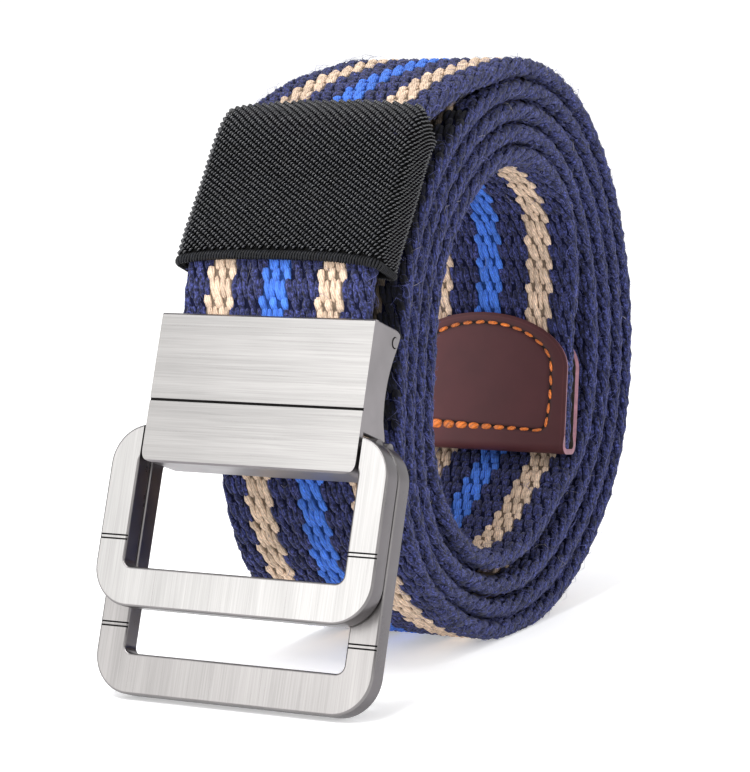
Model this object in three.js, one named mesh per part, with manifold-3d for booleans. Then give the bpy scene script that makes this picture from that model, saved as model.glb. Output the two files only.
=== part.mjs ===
import * as THREE from "three";
import { mergeVertices } from "three/addons/utils/BufferGeometryUtils.js";
import Module from "manifold-3d";

// Striped canvas belt, coiled, with a double-ring buckle standing in front of the coil.
// Millimetres, +X across the webbing, +Y to the back of the coil, +Z up, floor at Z = 0.

// driving sizes
const STRAP_WIDTH = 38;
const STRAP_THICKNESS = 3.5;
const COIL_RADIUS = 56.5;
const LEATHER_THICKNESS = 1.1;
const ELASTIC_WALL = 1.3;
const PLATE_THICKNESS = 1.3;
const BUCKLE_TILT_DEG = 19;
const FLOOR_FLATTENING = 0.35;

// clearances
const PIECE_GAP = 0.3;
const SIDE_GAP = 0.45;
const PIN_CLEARANCE = 0.2;
const CUT_MARGIN = 5;
const MERGE_DISTANCE = 0.001;
const ARC_STEPS = 8;

// webbing
const HALF_STRAP = STRAP_THICKNESS / 2;
const SELVEDGE_ROUNDING = 0.6;
const STRAP_SEGMENTS = 280;
const TIP_STRETCH_END_DEG = 48;
const COIL_LEAVE_DEG = 102;
const COIL_STEP_DEG = 12;
const FULL_TURNS = 4;
const REFERENCE_TURN = 3;

// The fourth turn of the coil: direction from the coil's centre, distance of the mid
// surface as a share of COIL_RADIUS, and spacing of the turns as a share of STRAP_THICKNESS.
const FOURTH_TURN = [
  { angle: -90, radius: 0.907, spacing: 1.23 },
  { angle: -60, radius: 0.876, spacing: 1.4 },
  { angle: -30, radius: 0.873, spacing: 1.48 },
  { angle: 0, radius: 0.844, spacing: 1.48 },
  { angle: 30, radius: 0.846, spacing: 1.42 },
  { angle: 60, radius: 0.879, spacing: 1.31 },
  { angle: 90, radius: 0.891, spacing: 1.23 },
  { angle: 120, radius: 0.885, spacing: 1.16 },
  { angle: 150, radius: 0.896, spacing: 1.1 },
  { angle: 180, radius: 0.908, spacing: 1.1 },
  { angle: 200, radius: 0.985, spacing: 1.12 },
  { angle: 220, radius: 1.04, spacing: 1.14 },
  { angle: 245, radius: 1.01, spacing: 1.17 },
  { angle: 270, radius: 0.983, spacing: 1.23 },
];

// How far the loose inner turns hang inward, as a share of STRAP_THICKNESS. A turn is
// counted from the bottom of the coil, 0.25 at the back, 0.5 on top, 0.75 at the front.
const INNER_SLACK = [
  { turn: 0.36, inward: 0.15 },
  { turn: 0.45, inward: 0 },
  { turn: 0.78, inward: 0 },
  { turn: 0.86, inward: 0.55 },
  { turn: 0.93, inward: 0.25 },
  { turn: 1.0, inward: 0.7 },
  { turn: 1.07, inward: 1.1 },
  { turn: 1.13, inward: 0.55 },
  { turn: 1.19, inward: 0.7 },
  { turn: 1.27, inward: 0.6 },
  { turn: 1.36, inward: 0.3 },
  { turn: 1.5, inward: 0 },
  { turn: 2.0, inward: 0.1 },
  { turn: 2.1, inward: 0.3 },
  { turn: 2.3, inward: 0.15 },
  { turn: 2.5, inward: 0 },
];

// The straight free end hanging inside the coil, from the coil's centre, as shares of
// COIL_RADIUS. The first row is the cut end inside the leather.
const TIP_STRETCH = [
  { back: 0.369, up: -0.412 },
  { back: 0.391, up: -0.246 },
  { back: 0.413, up: -0.08 },
  { back: 0.435, up: 0.086 },
  { back: 0.453, up: 0.225 },
];

// The stretch from the top of the coil down to the buckle, from the buckle's top edge,
// as shares of STRAP_WIDTH. It passes the elastic loop and ends at the housing's mouth.
const BUCKLE_STRAND = [
  { back: 1.142, up: 1.045 },
  { back: 0.779, up: 0.937 },
  { back: 0.603, up: 0.858 },
  { back: 0.374, up: 0.55 },
  { back: 0.147, up: 0.21 },
];

// places of the buckle and the coil
const BUCKLE_AHEAD_OF_COIL = 1.195 * COIL_RADIUS;
const BUCKLE_ABOVE_COIL = 0.2053 * COIL_RADIUS;

// elastic loop
const ELASTIC_LENGTH = 34.5;
const ELASTIC_ABOVE_HOUSING = 9.8;
const ELASTIC_BACK_SLACK = 2;
const ELASTIC_HALF_WIDTH = STRAP_WIDTH / 2 + SIDE_GAP + ELASTIC_WALL;
const ELASTIC_EDGE_ROUNDING = 1.6;
const ELASTIC_SEGMENTS = 14;
const HEM_HEIGHT = 2.6;
const HEM_EXTRA = 0.5;

// housing
const HOUSING_HALF_WIDTH = 22;
const HOUSING_HEIGHT = 27.7;
const HOUSING_DEPTH = 10.2;
const HOUSING_CORNER = 2.2;
const HOUSING_EDGE = 0.35;
const CHEEK_EDGE = 0.2;
const FLOOR_WALL_TOP = 24.3;
const BACK_HOOK_TOP = 20.6;
const BACK_HOOK_THICKNESS = 1.2;
const GROOVE_DOWN = 16.2;
const GROOVE_WIDTH = 0.5;
const GROOVE_DEPTH = 0.3;
const CHEEK_END_DOWN = 20.2;
const STRAP_END_DOWN = 18.5;

// Back edge of a cheek, from the top: distance down the housing, depth behind its face.
const CHEEK_BACK_EDGE = [
  { down: 0, deep: 0.84 },
  { down: 0.02, deep: 1 },
  { down: 0.09, deep: 0.97 },
  { down: 0.26, deep: 0.81 },
  { down: 0.43, deep: 0.75 },
  { down: 0.59, deep: 0.8 },
  { down: 0.68, deep: 0.91 },
  { down: 0.73, deep: 0.96 },
];

// clamp
const PIN_RADIUS = 0.9;
const PIN_DOWN = 2.4;
const PIN_DEPTH = 8.3;
const PIN_PROUD = 0.15;
const KNUCKLE_RADIUS = 1.7;
const JAW_THICKNESS = 1.5;
const JAW_BOTTOM_DOWN = 18.9;
const JAW_HALF_WIDTH = HOUSING_HALF_WIDTH - PLATE_THICKNESS - PIECE_GAP;

// rings
const RING_HALF_WIDTH = 28.45;
const RING_INNER_HALF_WIDTH = 22.55;
const RING_THICKNESS = 4.2;
const RING_CORNER = 7.6;
const RING_INNER_CORNER = 1.6;
const RING_EDGE = 0.4;
const RING_TOP_DOWN = 20.7;
const RING_ARM_ROOT_HEIGHT = 7;
const RING_BAR_RADIUS = 1.45;
const RING_BAR_EMBEDDED = 2;
const RING_BAR_DOWN = RING_TOP_DOWN + RING_BAR_RADIUS + 0.05;
const RING_TO_RING_GAP = 0.35;
const FRONT_RING_FACE_DEPTH = 0.35;
const BACK_RING_FACE_DEPTH = FRONT_RING_FACE_DEPTH + RING_THICKNESS + RING_TO_RING_GAP;
const FRONT_BAR_DEPTH = PLATE_THICKNESS + PIECE_GAP + RING_BAR_RADIUS;
const BACK_BAR_BEHIND_MIDDLE = 0.2;
const BACK_BAR_DEPTH = BACK_RING_FACE_DEPTH + RING_THICKNESS / 2 + BACK_BAR_BEHIND_MIDDLE;
const FRONT_RING = { bottom: 54.1, innerBottom: 46.9, lines: 41.7 };
const BACK_RING = { bottom: 69.4, innerBottom: 62, lines: 57 };
const LINE_WIDTH = 0.3;
const LINE_DEPTH = 0.25;
const LINE_SPACING = 0.7;

// leather tip
const LEATHER_HEIGHT = 29;
const LEATHER_OVERHANG = 0.3;
const LEATHER_ARC_RISE = 10.5;
const LEATHER_HALF_WIDTH = STRAP_WIDTH / 2 + LEATHER_OVERHANG;
const LEATHER_FOLD_ROUNDING = 2;

const wasm = await Module();
wasm.setup();

// helpers

function sortedValue(rows, key, column, at) {
  const last = rows.length - 1;
  let i = 0;
  while (i < last - 1 && at > rows[i + 1][key]) i += 1;
  const before = rows[Math.max(i - 1, 0)];
  const from = rows[i];
  const to = rows[i + 1];
  const after = rows[Math.min(i + 2, last)];
  const span = to[key] - from[key];
  const t = THREE.MathUtils.clamp((at - from[key]) / span, 0, 1);
  const startSlope = (to[column] - before[column]) / (to[key] - before[key]) * span;
  const endSlope = (after[column] - from[column]) / (after[key] - from[key]) * span;
  const rise = to[column] - from[column];
  const cubic = startSlope + endSlope - 2 * rise;
  const square = 3 * rise - 2 * startSlope - endSlope;
  return from[column] + t * (startSlope + t * (square + t * cubic));
}

function asManifold(geometry) {
  const bare = geometry.clone();
  bare.deleteAttribute("normal");
  bare.deleteAttribute("uv");
  const merged = mergeVertices(bare, 1e-4);
  const mesh = new wasm.Mesh({
    numProp: 3,
    vertProperties: new Float32Array(merged.attributes.position.array),
    triVerts: new Uint32Array(merged.index.array),
  });
  return new wasm.Manifold(mesh);
}

function asGeometry(manifold) {
  const mesh = manifold.getMesh();
  const geometry = new THREE.BufferGeometry();
  geometry.setAttribute("position", new THREE.BufferAttribute(new Float32Array(mesh.vertProperties), 3));
  geometry.setIndex(new THREE.BufferAttribute(new Uint32Array(mesh.triVerts), 1));
  geometry.computeVertexNormals();
  return geometry;
}

// The points of a path without the doubled ones where a line meets an arc.
function cleanPoints(path, arcSteps) {
  const kept = [];
  for (const p of path.getPoints(arcSteps)) {
    if (kept.length === 0 || p.distanceTo(kept[kept.length - 1]) > MERGE_DISTANCE) kept.push(p);
  }
  if (kept[0].distanceTo(kept[kept.length - 1]) < MERGE_DISTANCE) kept.pop();
  return kept;
}

function cleanOutline(shape, arcSteps) {
  const clean = new THREE.Shape(cleanPoints(shape, arcSteps));
  clean.holes = shape.holes.map((hole) => new THREE.Path(cleanPoints(hole, arcSteps)));
  return clean;
}

// An outline drawn in the Y-Z plane, made a solid from -halfWidth to +halfWidth along X.
function acrossX(outline, halfWidth, edge = 0, edgeSteps = 1) {
  const geometry = new THREE.ExtrudeGeometry(cleanOutline(new THREE.Shape(outline), 1), {
    depth: 2 * (halfWidth - edge),
    steps: 1,
    bevelEnabled: edge > 0,
    bevelThickness: edge,
    bevelSize: edge,
    bevelOffset: -edge,
    bevelSegments: edgeSteps,
  });
  geometry.translate(0, 0, edge - halfWidth);
  const axes = new THREE.Matrix4().makeBasis(
    new THREE.Vector3(0, 1, 0),
    new THREE.Vector3(0, 0, 1),
    new THREE.Vector3(1, 0, 0),
  );
  return geometry.applyMatrix4(axes);
}

// An outline drawn in the X-Z plane, made a solid from the depth `front` to `back` along Y.
function alongY(shape, front, back, edge = 0, edgeSteps = 2) {
  const geometry = new THREE.ExtrudeGeometry(cleanOutline(shape, ARC_STEPS), {
    depth: back - front - 2 * edge,
    steps: 1,
    bevelEnabled: edge > 0,
    bevelThickness: edge,
    bevelSize: edge,
    bevelOffset: -edge,
    bevelSegments: edgeSteps,
  });
  geometry.translate(0, 0, -back + edge);
  return geometry.rotateX(Math.PI / 2);
}

function box(x, y, z) {
  const geometry = new THREE.BoxGeometry(x[1] - x[0], y[1] - y[0], z[1] - z[0]);
  return geometry.translate((x[0] + x[1]) / 2, (y[0] + y[1]) / 2, (z[0] + z[1]) / 2);
}

function rodAcross(radius, halfLength, depth, down) {
  const geometry = new THREE.CylinderGeometry(radius, radius, 2 * halfLength, 24);
  return geometry.rotateZ(Math.PI / 2).translate(0, depth, -down);
}

function point(y, z) {
  return new THREE.Vector2(y, z);
}

// The buckle is drawn upright, its face on Y = 0 and its top edge on Z = 0, then leaned
// so that its lower end comes forward.
const TILT = THREE.MathUtils.degToRad(BUCKLE_TILT_DEG);

function leanPoint(depth, down) {
  const y = depth * Math.cos(TILT) - down * Math.sin(TILT);
  const z = -depth * Math.sin(TILT) - down * Math.cos(TILT);
  return point(y, z);
}

function leaned(geometry) {
  return geometry.rotateX(-TILT);
}

// strap path

function coilPoint(turn) {
  const whole = Math.floor(turn);
  const angle = (turn - whole) * 360 - 90;
  const radius = COIL_RADIUS * sortedValue(FOURTH_TURN, "angle", "radius", angle);
  const spacing = STRAP_THICKNESS * sortedValue(FOURTH_TURN, "angle", "spacing", angle);
  const last = INNER_SLACK[INNER_SLACK.length - 1];
  const loose = turn < last.turn ? sortedValue(INNER_SLACK, "turn", "inward", turn) : last.inward;
  const distance = radius + (whole - REFERENCE_TURN) * spacing - loose * STRAP_THICKNESS;
  const direction = THREE.MathUtils.degToRad(angle);
  const y = BUCKLE_AHEAD_OF_COIL + distance * Math.cos(direction);
  const z = -BUCKLE_ABOVE_COIL + distance * Math.sin(direction);
  return point(y, z);
}

function strapPath() {
  const points = [];
  for (const row of TIP_STRETCH) {
    const y = BUCKLE_AHEAD_OF_COIL + row.back * COIL_RADIUS;
    const z = -BUCKLE_ABOVE_COIL + row.up * COIL_RADIUS;
    points.push(point(y, z));
  }
  const first = (TIP_STRETCH_END_DEG + 90) / 360;
  const last = FULL_TURNS + (COIL_LEAVE_DEG + 90) / 360;
  const count = Math.round((last - first) * 360 / COIL_STEP_DEG);
  for (let i = 0; i <= count; i += 1) {
    points.push(coilPoint(first + (last - first) * i / count));
  }
  for (const row of BUCKLE_STRAND) {
    points.push(point(row.back * STRAP_WIDTH, row.up * STRAP_WIDTH));
  }
  const depth = PLATE_THICKNESS + PIECE_GAP + HALF_STRAP;
  points.push(leanPoint(depth, 0));
  points.push(leanPoint(depth, STRAP_END_DOWN / 2));
  points.push(leanPoint(depth, STRAP_END_DOWN));
  const inSpace = points.map((p) => new THREE.Vector3(0, p.x, p.y));
  return new THREE.CatmullRomCurve3(inSpace, false, "centripetal");
}

const PATH = strapPath();
PATH.arcLengthDivisions = 4000;
const PATH_LENGTH = PATH.getLength();
const LOWEST = coilPoint(FULL_TURNS).y - HALF_STRAP;
const FLOOR = LOWEST + FLOOR_FLATTENING;

// A line beside the path between two lengths from the free end, `side` to its left.
function besidePath(from, to, steps, side) {
  const line = [];
  for (let i = 0; i <= steps; i += 1) {
    const share = (from + (to - from) * i / steps) / PATH_LENGTH;
    const at = PATH.getPointAt(share);
    const along = PATH.getTangentAt(share);
    line.push(point(at.y - side * along.z, at.z + side * along.y));
  }
  return line;
}

// The outline of a ribbon whose inner face lies on the side of the coil's centre.
function ribbonOutline(from, to, steps, inward, outward = inward) {
  const inner = besidePath(from, to, steps, inward);
  const outer = besidePath(from, to, steps, -outward);
  return inner.concat(outer.reverse());
}

// soft pieces

function webbingStrap() {
  const outline = ribbonOutline(0, PATH_LENGTH, STRAP_SEGMENTS, HALF_STRAP);
  const resting = outline.map((p) => point(p.x, Math.max(p.y, FLOOR)));
  return acrossX(resting, STRAP_WIDTH / 2, SELVEDGE_ROUNDING);
}

function elasticLoop() {
  const bottom = PATH_LENGTH - STRAP_END_DOWN - ELASTIC_ABOVE_HOUSING;
  const top = bottom - ELASTIC_LENGTH;
  const front = HALF_STRAP + PIECE_GAP;
  const back = front + ELASTIC_BACK_SLACK;
  const wall = ELASTIC_WALL;
  const rolled = wall + HEM_EXTRA;
  const sleeve = ribbonOutline(top, bottom, ELASTIC_SEGMENTS, back + wall, front + wall);
  const hem = ribbonOutline(bottom - HEM_HEIGHT, bottom, 2, back + rolled, front + rolled);
  const cavity = ribbonOutline(top - CUT_MARGIN, bottom + CUT_MARGIN, ELASTIC_SEGMENTS + 4, back, front);
  const outside = asManifold(acrossX(sleeve, ELASTIC_HALF_WIDTH, ELASTIC_EDGE_ROUNDING, 3));
  const roll = asManifold(acrossX(hem, ELASTIC_HALF_WIDTH + HEM_EXTRA, ELASTIC_EDGE_ROUNDING / 2, 2));
  const inside = asManifold(acrossX(cavity, STRAP_WIDTH / 2 + SIDE_GAP));
  return asGeometry(outside.add(roll).subtract(inside));
}

function leatherTip() {
  const cavityHalf = HALF_STRAP + PIECE_GAP;
  const outerHalf = cavityHalf + LEATHER_THICKNESS;
  const fold = -PIECE_GAP - LEATHER_THICKNESS;
  const top = fold + LEATHER_HEIGHT;
  const profile = new THREE.Shape();
  profile.moveTo(-outerHalf, top);
  profile.lineTo(-outerHalf, fold + LEATHER_FOLD_ROUNDING);
  profile.quadraticCurveTo(-outerHalf, fold, -outerHalf + LEATHER_FOLD_ROUNDING, fold);
  profile.lineTo(outerHalf - LEATHER_FOLD_ROUNDING, fold);
  profile.quadraticCurveTo(outerHalf, fold, outerHalf, fold + LEATHER_FOLD_ROUNDING);
  profile.lineTo(outerHalf, top);
  profile.lineTo(cavityHalf, top);
  profile.lineTo(cavityHalf, -PIECE_GAP);
  profile.lineTo(-cavityHalf, -PIECE_GAP);
  profile.lineTo(-cavityHalf, top);
  const folded = asManifold(acrossX(profile.getPoints(6), LEATHER_HALF_WIDTH));
  const side = top - LEATHER_ARC_RISE;
  const tongue = new THREE.Shape();
  tongue.moveTo(-LEATHER_HALF_WIDTH - CUT_MARGIN, fold - CUT_MARGIN);
  tongue.lineTo(LEATHER_HALF_WIDTH + CUT_MARGIN, fold - CUT_MARGIN);
  tongue.lineTo(LEATHER_HALF_WIDTH + CUT_MARGIN, side);
  tongue.lineTo(LEATHER_HALF_WIDTH, side);
  tongue.absellipse(0, side, LEATHER_HALF_WIDTH, LEATHER_ARC_RISE, 0, Math.PI, false, 0);
  tongue.lineTo(-LEATHER_HALF_WIDTH - CUT_MARGIN, side);
  const trim = asManifold(alongY(tongue, -outerHalf - CUT_MARGIN, outerHalf + CUT_MARGIN));
  const end = PATH.getPointAt(0);
  const along = PATH.getPointAt(LEATHER_HEIGHT / PATH_LENGTH).sub(end);
  const lean = -Math.atan2(along.y, along.z);
  return asGeometry(folded.intersect(trim)).rotateX(lean).translate(0, end.y, end.z);
}

// metal pieces

function buckleHousing() {
  const deep = HOUSING_DEPTH;
  const hookFront = deep - BACK_HOOK_THICKNESS;
  const hook = [
    point(HOUSING_EDGE, 0),
    point(PLATE_THICKNESS, 0),
    point(PLATE_THICKNESS, -FLOOR_WALL_TOP),
    point(hookFront, -FLOOR_WALL_TOP),
    point(hookFront, -BACK_HOOK_TOP),
    point(deep, -BACK_HOOK_TOP),
    point(deep, -HOUSING_HEIGHT + 2 * HOUSING_EDGE),
    point(deep - 2 * HOUSING_EDGE, -HOUSING_HEIGHT),
    point(HOUSING_EDGE, -HOUSING_HEIGHT),
    point(0, -HOUSING_HEIGHT + HOUSING_EDGE),
    point(0, -HOUSING_EDGE),
  ].reverse();
  const body = asManifold(acrossX(hook, HOUSING_HALF_WIDTH));
  const backEdge = CHEEK_BACK_EDGE.map((row) => point(row.deep * deep, -row.down * HOUSING_HEIGHT));
  const curve = new THREE.SplineCurve(backEdge).getPoints(18);
  const cheek = [
    point(HOUSING_EDGE, -CHEEK_END_DOWN),
    ...curve.reverse(),
    point(HOUSING_EDGE, 0),
  ];
  const cheekSlab = asManifold(acrossX(cheek, PLATE_THICKNESS / 2, CHEEK_EDGE));
  const cheekPlace = HOUSING_HALF_WIDTH - PLATE_THICKNESS / 2;
  const cheeks = cheekSlab.translate([cheekPlace, 0, 0]).add(cheekSlab.translate([-cheekPlace, 0, 0]));
  const face = new THREE.Shape();
  const half = HOUSING_HALF_WIDTH;
  face.moveTo(-half, CUT_MARGIN);
  face.lineTo(-half, -HOUSING_HEIGHT + HOUSING_CORNER);
  face.quadraticCurveTo(-half, -HOUSING_HEIGHT, -half + HOUSING_CORNER, -HOUSING_HEIGHT);
  face.lineTo(half - HOUSING_CORNER, -HOUSING_HEIGHT);
  face.quadraticCurveTo(half, -HOUSING_HEIGHT, half, -HOUSING_HEIGHT + HOUSING_CORNER);
  face.lineTo(half, CUT_MARGIN);
  const roundedCorners = asManifold(alongY(face, -CUT_MARGIN, deep + CUT_MARGIN));
  const groove = asManifold(box(
    [-half - CUT_MARGIN, half + CUT_MARGIN],
    [-CUT_MARGIN, GROOVE_DEPTH],
    [-GROOVE_DOWN - GROOVE_WIDTH / 2, -GROOVE_DOWN + GROOVE_WIDTH / 2],
  ));
  const pinHole = asManifold(rodAcross(PIN_RADIUS + PIN_CLEARANCE, half + CUT_MARGIN, PIN_DEPTH, PIN_DOWN));
  const whole = body.intersect(roundedCorners).add(cheeks).subtract(groove).subtract(pinHole);
  return leaned(asGeometry(whole));
}

function clampPin() {
  return leaned(rodAcross(PIN_RADIUS, HOUSING_HALF_WIDTH + PIN_PROUD, PIN_DEPTH, PIN_DOWN));
}

function clampJaw() {
  const front = PLATE_THICKNESS + 2 * PIECE_GAP + STRAP_THICKNESS;
  const plate = asManifold(box(
    [-JAW_HALF_WIDTH, JAW_HALF_WIDTH],
    [front, front + JAW_THICKNESS],
    [-JAW_BOTTOM_DOWN, -PIN_DOWN],
  ));
  const knuckle = asManifold(rodAcross(KNUCKLE_RADIUS, JAW_HALF_WIDTH, PIN_DEPTH, PIN_DOWN));
  const bore = asManifold(rodAcross(PIN_RADIUS + PIN_CLEARANCE, HOUSING_HALF_WIDTH, PIN_DEPTH, PIN_DOWN));
  return leaned(asGeometry(plate.add(knuckle).subtract(bore)));
}

function roundedRectangle(halfWidth, top, bottom, corner) {
  const shape = new THREE.Shape();
  shape.moveTo(-halfWidth + corner, bottom);
  shape.lineTo(halfWidth - corner, bottom);
  shape.absarc(halfWidth - corner, bottom + corner, corner, -Math.PI / 2, 0, false);
  shape.lineTo(halfWidth, top - corner);
  shape.absarc(halfWidth - corner, top - corner, corner, 0, Math.PI / 2, false);
  shape.lineTo(-halfWidth + corner, top);
  shape.absarc(-halfWidth + corner, top - corner, corner, Math.PI / 2, Math.PI, false);
  shape.lineTo(-halfWidth, bottom + corner);
  shape.absarc(-halfWidth + corner, bottom + corner, corner, Math.PI, 1.5 * Math.PI, false);
  return shape;
}

// A ring is a flat frame whose upper side is a round bar that turns behind the plate.
function ring(sizes, faceDepth, barDepth) {
  const half = RING_HALF_WIDTH;
  const inner = RING_INNER_HALF_WIDTH;
  const backDepth = faceDepth + RING_THICKNESS;
  const frame = roundedRectangle(half, -RING_TOP_DOWN, -sizes.bottom, RING_CORNER);
  const openingTop = -RING_TOP_DOWN - RING_ARM_ROOT_HEIGHT + RING_INNER_CORNER;
  frame.holes.push(roundedRectangle(inner, openingTop, -sizes.innerBottom, RING_INNER_CORNER));
  let solid = asManifold(alongY(frame, faceDepth, backDepth, RING_EDGE, 2));
  solid = solid.subtract(asManifold(box(
    [-inner, inner],
    [faceDepth - CUT_MARGIN, backDepth + CUT_MARGIN],
    [-RING_TOP_DOWN - RING_ARM_ROOT_HEIGHT, CUT_MARGIN],
  )));
  solid = solid.add(asManifold(rodAcross(RING_BAR_RADIUS, inner + RING_BAR_EMBEDDED, barDepth, RING_BAR_DOWN)));
  for (const side of [-1, 1]) {
    for (const step of [-0.5, 0.5]) {
      const down = sizes.lines + step * LINE_SPACING;
      const armMiddle = side * (half + inner) / 2;
      const reach = half - inner;
      solid = solid.subtract(asManifold(box(
        [armMiddle - reach, armMiddle + reach],
        [faceDepth - CUT_MARGIN, faceDepth + LINE_DEPTH],
        [-down - LINE_WIDTH / 2, -down + LINE_WIDTH / 2],
      )));
    }
  }
  return leaned(asGeometry(solid));
}

// materials

function cloth(name, color) {
  return new THREE.MeshStandardMaterial({ name, color, roughness: 0.95, metalness: 0 });
}

function metal(name, color) {
  return new THREE.MeshStandardMaterial({ name, color, roughness: 0.35, metalness: 1 });
}

const pieces = [
  ["webbing_strap", webbingStrap(), cloth("navy_webbing", 0x2b3166)],
  ["elastic_loop", elasticLoop(), cloth("black_elastic", 0x1d1f22)],
  ["leather_tip", leatherTip(), cloth("brown_leather", 0x57363a)],
  ["buckle_housing", buckleHousing(), metal("brushed_nickel_housing", 0xa8a39c)],
  ["clamp_jaw", clampJaw(), metal("plain_steel_jaw", 0x8d8b88)],
  ["clamp_pin", clampPin(), metal("plain_steel_pin", 0x9a9894)],
  ["front_ring", ring(FRONT_RING, FRONT_RING_FACE_DEPTH, FRONT_BAR_DEPTH), metal("front_ring_nickel", 0xb0aaa2)],
  ["back_ring", ring(BACK_RING, BACK_RING_FACE_DEPTH, BACK_BAR_DEPTH), metal("back_ring_nickel", 0xaca69f)],
];

// The whole belt is moved so that the middle of its footprint stands on the origin.
const extent = new THREE.Box3();
for (const [, geometry] of pieces) {
  geometry.computeBoundingBox();
  extent.union(geometry.boundingBox);
}
const middle = extent.getCenter(new THREE.Vector3());

const belt = new THREE.Group();
belt.name = "canvas_belt";
for (const [name, geometry, material] of pieces) {
  geometry.translate(-middle.x, -middle.y, -extent.min.z);
  const mesh = new THREE.Mesh(geometry, material);
  mesh.name = name;
  belt.add(mesh);
}

export default belt;
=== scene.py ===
import math

import bpy
import numpy as np
from mathutils import Matrix, Vector


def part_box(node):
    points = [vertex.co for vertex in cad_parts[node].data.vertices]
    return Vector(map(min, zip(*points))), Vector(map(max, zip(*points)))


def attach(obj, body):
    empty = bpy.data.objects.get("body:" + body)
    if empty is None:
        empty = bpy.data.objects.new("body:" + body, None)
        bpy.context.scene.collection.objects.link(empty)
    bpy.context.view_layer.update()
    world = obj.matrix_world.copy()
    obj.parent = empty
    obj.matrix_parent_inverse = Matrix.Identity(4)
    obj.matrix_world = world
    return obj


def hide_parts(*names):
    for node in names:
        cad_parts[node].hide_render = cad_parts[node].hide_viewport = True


bl_info = {
    "name": "Striped canvas belt",
    "version": (1, 0, 0),
    "blender": (4, 5, 0),
    "location": "3D View > Sidebar > Canvas belt",
    "description": "Yarns, elastic, leather and brushed metal for the coiled canvas belt",
    "category": "Object",
}

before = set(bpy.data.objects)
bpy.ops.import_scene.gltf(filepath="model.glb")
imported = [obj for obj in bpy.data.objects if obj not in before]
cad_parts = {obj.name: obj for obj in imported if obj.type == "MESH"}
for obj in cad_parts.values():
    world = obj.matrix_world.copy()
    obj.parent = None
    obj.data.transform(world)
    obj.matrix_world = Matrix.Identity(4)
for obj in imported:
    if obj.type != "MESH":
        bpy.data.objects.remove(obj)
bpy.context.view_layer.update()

MM = 0.001
BUCKLE_LEAN = math.radians(19)
DICE = np.random.default_rng(7)


# Settings


def length(name, description, default):
    return bpy.props.FloatProperty(
        name=name, description=description, default=default * MM, precision=5, unit="LENGTH"
    )


def colour(name, description, default):
    return bpy.props.FloatVectorProperty(
        name=name, description=description, default=default, min=0, max=1, subtype="COLOR"
    )


class WebbingSettings(bpy.types.PropertyGroup):
    half_width: length("Half width", "Half the width of the ground under the yarns", 18.6)
    half_thickness: length("Half thickness", "Half the thickness of that ground", 1.4)
    corner: length("Corner", "Rounding of the selvedge", 0.9)
    column_pitch: length("Column pitch", "Distance between neighbouring yarn columns", 1.14)
    repeat: length("Repeat", "Length of one weave repeat along the belt", 5.2)
    yarn_thickness: length("Yarn thickness", "Thickness of one yarn bulge", 1.05)
    long_float: length("Long float", "Length of the paired floats", 5.1)
    short_float: length("Short float", "Length of the round bumps between them", 3.0)
    slant: bpy.props.FloatProperty(
        name="Slant", description="Lean of the floats", default=math.radians(10), subtype="ANGLE"
    )
    navy: colour("Navy", "Ground yarns", (0.022, 0.0265, 0.095))
    khaki: colour("Khaki", "Outer stripes", (0.76, 0.575, 0.43))
    blue: colour("Blue", "Middle stripe", (0.065, 0.2, 0.74))
    gap_shade: bpy.props.FloatProperty(
        name="Gap shade", description="Share of light on yarns close behind the hanging end", default=0.12
    )
    hairs: bpy.props.IntProperty(
        name="Loose hairs", description="Fine fibres standing off the cloth", default=9400, min=0
    )
    hair_length: length("Hair length", "Longest loose fibre", 4.2)


class ElasticSettings(bpy.types.PropertyGroup):
    half_width: length("Half width", "Half the width of the loop", 21.1)
    front: length("Front", "From the belt's middle to the loop's front", 3.1)
    back: length("Back", "From the belt's middle to the loop's back", 5.1)
    corner: length("Corner", "Rounding of the folded sides", 1.7)
    wall: length("Wall", "Thickness of the elastic band", 0.8)
    height: length("Height", "Length along the belt", 34.5)
    above_end: length("Above the end", "From its lower rim to the belt's fixed end", 28.3)
    column_pitch: length("Column pitch", "Distance between the twill's columns", 0.577)
    row_pitch: length("Row pitch", "Distance between diagonal ribs along the belt", 1.14)
    top_sag: length("Top sag", "Fall of the upper rim at its sides", 3.0)
    hem_sag: length("Hem sag", "Fall of the lower rim at its sides", 1.2)
    hem: length("Hem", "Height of the stitched hem", 1.6)
    hem_pitch: length("Hem pitch", "Distance between the hem's loops", 0.56)
    black: colour("Black", "Covered rubber yarn", (0.0042, 0.005, 0.0085))


class LeatherSettings(bpy.types.PropertyGroup):
    half_width: length("Half width", "Half the width of the tip", 19.1)
    height: length("Height", "From the fold to the top of the arc", 27.1)
    arc_rise: length("Arc rise", "Rise of the arc over its sides", 11)
    fold_below: length("Fold below", "Leather below the belt's end", 1.4)
    half_depth: length("Half depth", "Half the outside depth of the folded tip", 3.15)
    thickness: length("Thickness", "Thickness of the leather", 1.1)
    fold_corner: length("Fold corner", "Rounding of the fold", 2.0)
    stitch_inset: length("Stitch inset", "From the arc to the stitches", 2.0)
    side_inset: length("Side inset", "From the sides to the stitches", 3.5)
    seam_above_fold: length("Lower seam", "From the fold to the lower seam", 4.6)
    stitch_pitch: length("Stitch pitch", "Distance between stitches", 2.9)
    stitch_length: length("Stitch length", "Thread seen of each stitch", 2.3)
    thread: length("Thread", "Thickness of the thread", 0.62)
    furrow: length("Furrow", "Depth that the seam is pressed in", 0.22)
    brown: colour("Brown", "Grain side", (0.094, 0.031, 0.034))
    edge: colour("Edge", "Painted cut edges", (0.24, 0.1, 0.135))
    orange: colour("Thread colour", "Sewing thread", (0.78, 0.19, 0.02))


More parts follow.
